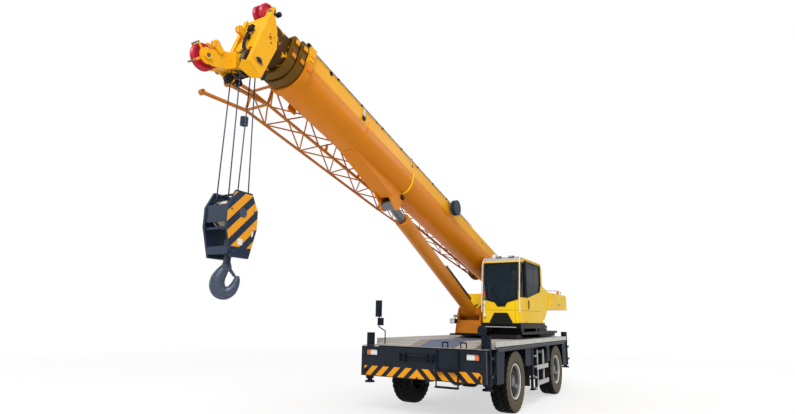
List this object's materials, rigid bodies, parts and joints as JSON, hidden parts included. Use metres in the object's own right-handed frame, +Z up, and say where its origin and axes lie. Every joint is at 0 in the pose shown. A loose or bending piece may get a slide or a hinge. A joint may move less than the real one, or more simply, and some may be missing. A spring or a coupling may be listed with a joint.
{
  "type": "mobile crane",
  "caption": "Two-axle rough-terrain crane with cab, luffing telescopic boom, side-stowed lattice jib, hook block and outriggers.",
  "frame": {"origin": "on the ground under the slewing axis", "axes": "+X to the front of the carrier, +Y to its left, +Z up"},
  "size_m": [12.5471, 2.62, 5.8476],
  "materials": {
    "yellow_paint": "gloss",
    "dark_paint": "satin",
    "deck_plate": "satin",
    "silver_paint": "satin",
    "lamp_lens": "gloss",
    "rubber": "matte",
    "rim_paint": "satin",
    "chrome_rod": "polished",
    "red_paint": "gloss",
    "cab_glass": "gloss",
    "seat_vinyl": "matte",
    "dark_plastic": "matte",
    "pin_steel": "satin",
    "hook_steel": "satin"
  },
  "bodies": {
    "carrier": {"chassis_frame": "dark_paint", "deck": "deck_plate", "mudguards": "dark_paint", "access_ladders": "dark_paint", "side_tanks": "dark_paint", "side_guards": "silver_paint", "front_bumper": "dark_paint", "lamps": "lamp_lens", "front_mirrors": "dark_paint", "engine_block": "dark_paint", "front_axle": "dark_paint", "rear_axle": "dark_paint", "slewing_ring": "dark_paint"},
    "front_left_knuckle": {"front_left_knuckle": "dark_paint"},
    "front_left_wheel": {"front_left_tyre": "rubber", "front_left_rim": "rim_paint"},
    "front_right_knuckle": {"front_right_knuckle": "dark_paint"},
    "front_right_wheel": {"front_right_tyre": "rubber", "front_right_rim": "rim_paint"},
    "rear_left_knuckle": {"rear_left_knuckle": "dark_paint"},
    "rear_left_wheel": {"rear_left_tyre": "rubber", "rear_left_rim": "rim_paint"},
    "rear_right_knuckle": {"rear_right_knuckle": "dark_paint"},
    "rear_right_wheel": {"rear_right_tyre": "rubber", "rear_right_rim": "rim_paint"},
    "front_left_outrigger": {"front_left_outrigger_beam": "dark_paint"},
    "front_left_jack": {"front_left_jack": "chrome_rod"},
    "front_right_outrigger": {"front_right_outrigger_beam": "dark_paint"},
    "front_right_jack": {"front_right_jack": "chrome_rod"},
    "rear_left_outrigger": {"rear_left_outrigger_beam": "dark_paint"},
    "rear_left_jack": {"rear_left_jack": "chrome_rod"},
    "rear_right_outrigger": {"rear_right_outrigger_beam": "dark_paint"},
    "rear_right_jack": {"rear_right_jack": "chrome_rod"},
    "superstructure": {"turntable": "yellow_paint", "boom_foot_pin": "pin_steel", "lift_foot_pin": "pin_steel", "counterweight": "yellow_paint", "machine_housings": "yellow_paint", "winches": "dark_paint", "cab_shell": "yellow_paint", "cab_glass": "cab_glass", "operator_seat": "seat_vinyl", "control_console": "dark_plastic"},
    "cab_door": {"cab_door": "yellow_paint", "door_glass": "cab_glass"},
    "boom": {"boom_base": "yellow_paint", "cable_reel": "dark_paint", "jib": "yellow_paint"},
    "section_2": {"boom_section_2": "yellow_paint"},
    "section_3": {"boom_section_3": "yellow_paint"},
    "head_section": {"boom_head": "yellow_paint", "head_sheaves": "red_paint", "main_sheave_shaft": "pin_steel"},
    "lift_barrel": {"lift_barrel": "yellow_paint", "lift_sleeve": "pin_steel"},
    "lift_rod": {"lift_rod": "chrome_rod"},
    "falls": {"overwind_weight": "dark_paint"},
    "hook_block": {"hook_block": "dark_paint"},
    "hook": {"hook": "hook_steel"}
  },
  "joints": [
    {"name": "front_left_steer", "type": "hinge", "parent": "carrier", "child": "front_left_knuckle", "pos_m": [1.85, 0.88, 0.61], "axis": [0, 0, 1], "range_deg": [-30, 30]},
    {"name": "front_left_roll", "type": "hinge", "parent": "front_left_knuckle", "child": "front_left_wheel", "pos_m": [1.85, 1.11, 0.61], "axis": [0, 1, 0], "continuous": true},
    {"name": "front_right_steer", "type": "hinge", "parent": "carrier", "child": "front_right_knuckle", "pos_m": [1.85, -0.88, 0.61], "axis": [0, 0, 1], "range_deg": [-30, 30]},
    {"name": "front_right_roll", "type": "hinge", "parent": "front_right_knuckle", "child": "front_right_wheel", "pos_m": [1.85, -1.11, 0.61], "axis": [0, 1, 0], "continuous": true},
    {"name": "rear_left_steer", "type": "hinge", "parent": "carrier", "child": "rear_left_knuckle", "pos_m": [-1.494, 0.88, 0.61], "axis": [0, 0, 1], "range_deg": [-30, 30]},
    {"name": "rear_left_roll", "type": "hinge", "parent": "rear_left_knuckle", "child": "rear_left_wheel", "pos_m": [-1.494, 1.11, 0.61], "axis": [0, 1, 0], "continuous": true},
    {"name": "rear_right_steer", "type": "hinge", "parent": "carrier", "child": "rear_right_knuckle", "pos_m": [-1.494, -0.88, 0.61], "axis": [0, 0, 1], "range_deg": [-30, 30]},
    {"name": "rear_right_roll", "type": "hinge", "parent": "rear_right_knuckle", "child": "rear_right_wheel", "pos_m": [-1.494, -1.11, 0.61], "axis": [0, 1, 0], "continuous": true},
    {"name": "front_left_beam_slide", "type": "slide", "parent": "carrier", "child": "front_left_outrigger", "axis": [0, 1, 0], "range_m": [0, 1.55]},
    {"name": "front_left_jack_lower", "type": "slide", "parent": "front_left_outrigger", "child": "front_left_jack", "axis": [0, 0, -1], "range_m": [0, 0.62]},
    {"name": "front_right_beam_slide", "type": "slide", "parent": "carrier", "child": "front_right_outrigger", "axis": [0, -1, 0], "range_m": [0, 1.55]},
    {"name": "front_right_jack_lower", "type": "slide", "parent": "front_right_outrigger", "child": "front_right_jack", "axis": [0, 0, -1], "range_m": [0, 0.62]},
    {"name": "rear_left_beam_slide", "type": "slide", "parent": "carrier", "child": "rear_left_outrigger", "axis": [0, 1, 0], "range_m": [0, 1.55]},
    {"name": "rear_left_jack_lower", "type": "slide", "parent": "rear_left_outrigger", "child": "rear_left_jack", "axis": [0, 0, -1], "range_m": [0, 0.62]},
    {"name": "rear_right_beam_slide", "type": "slide", "parent": "carrier", "child": "rear_right_outrigger", "axis": [0, -1, 0], "range_m": [0, 1.55]},
    {"name": "rear_right_jack_lower", "type": "slide", "parent": "rear_right_outrigger", "child": "rear_right_jack", "axis": [0, 0, -1], "range_m": [0, 0.62]},
    {"name": "slew", "type": "hinge", "parent": "carrier", "child": "superstructure", "pos_m": [0, 0, 1.465], "axis": [0, 0, 1], "continuous": true},
    {"name": "cab_door_slide", "type": "slide", "parent": "superstructure", "child": "cab_door", "axis": [-1, 0, 0], "range_m": [0, 0.7]},
    {"name": "boom_luff", "type": "hinge", "parent": "superstructure", "child": "boom", "pos_m": [-1.95, 0, 2.575], "axis": [0, -1, 0], "range_deg": [0, 62.85]},
    {"name": "telescope_2", "type": "slide", "parent": "boom", "child": "section_2", "axis": [0.9652, 0, 0.2613], "range_m": [0, 7]},
    {"name": "telescope_3", "type": "slide", "parent": "section_2", "child": "section_3", "axis": [0.9652, 0, 0.2613], "range_m": [0, 7]},
    {"name": "telescope_head", "type": "slide", "parent": "section_3", "child": "head_section", "axis": [0.9652, 0, 0.2613], "range_m": [0, 7]},
    {"name": "lift_barrel_turn", "type": "hinge", "parent": "superstructure", "child": "lift_barrel", "pos_m": [1.008, 0, 1.981], "axis": [0, -1, 0], "range_deg": [0, 71.96]},
    {"name": "lift_rod_slide", "type": "slide", "parent": "lift_barrel", "child": "lift_rod", "axis": [0.8987, 0, 0.4385], "range_m": [0, 3.024]},
    {"name": "falls_luff", "type": "hinge", "parent": "head_section", "child": "falls", "pos_m": [8.32817, 0, 4.87097], "axis": [0, -1, 0], "range_deg": [-62.86, 0]},
    {"name": "hoist", "type": "slide", "parent": "falls", "child": "hook_block", "axis": [0, 0, -1], "range_m": [-0.93, 1.9]},
    {"name": "hook_swivel", "type": "hinge", "parent": "hook_block", "child": "hook", "pos_m": [8.32817, 0, 2.5], "axis": [0, 0, 1], "continuous": true}
  ],
  "couplings": [
    {"joint": "front_right_steer", "follows": "front_left_steer", "ratio": 1},
    {"joint": "rear_right_steer", "follows": "rear_left_steer", "ratio": 1},
    {"joint": "telescope_3", "follows": "telescope_2", "ratio": 1},
    {"joint": "telescope_head", "follows": "telescope_2", "ratio": 1},
    {"joint": "lift_barrel_turn", "follows": "boom_luff", "ratio": 1.1448},
    {"joint": "lift_rod_slide", "follows": "boom_luff", "m_per_rad": 2.7563},
    {"joint": "falls_luff", "follows": "boom_luff", "ratio": -1}
  ]
}
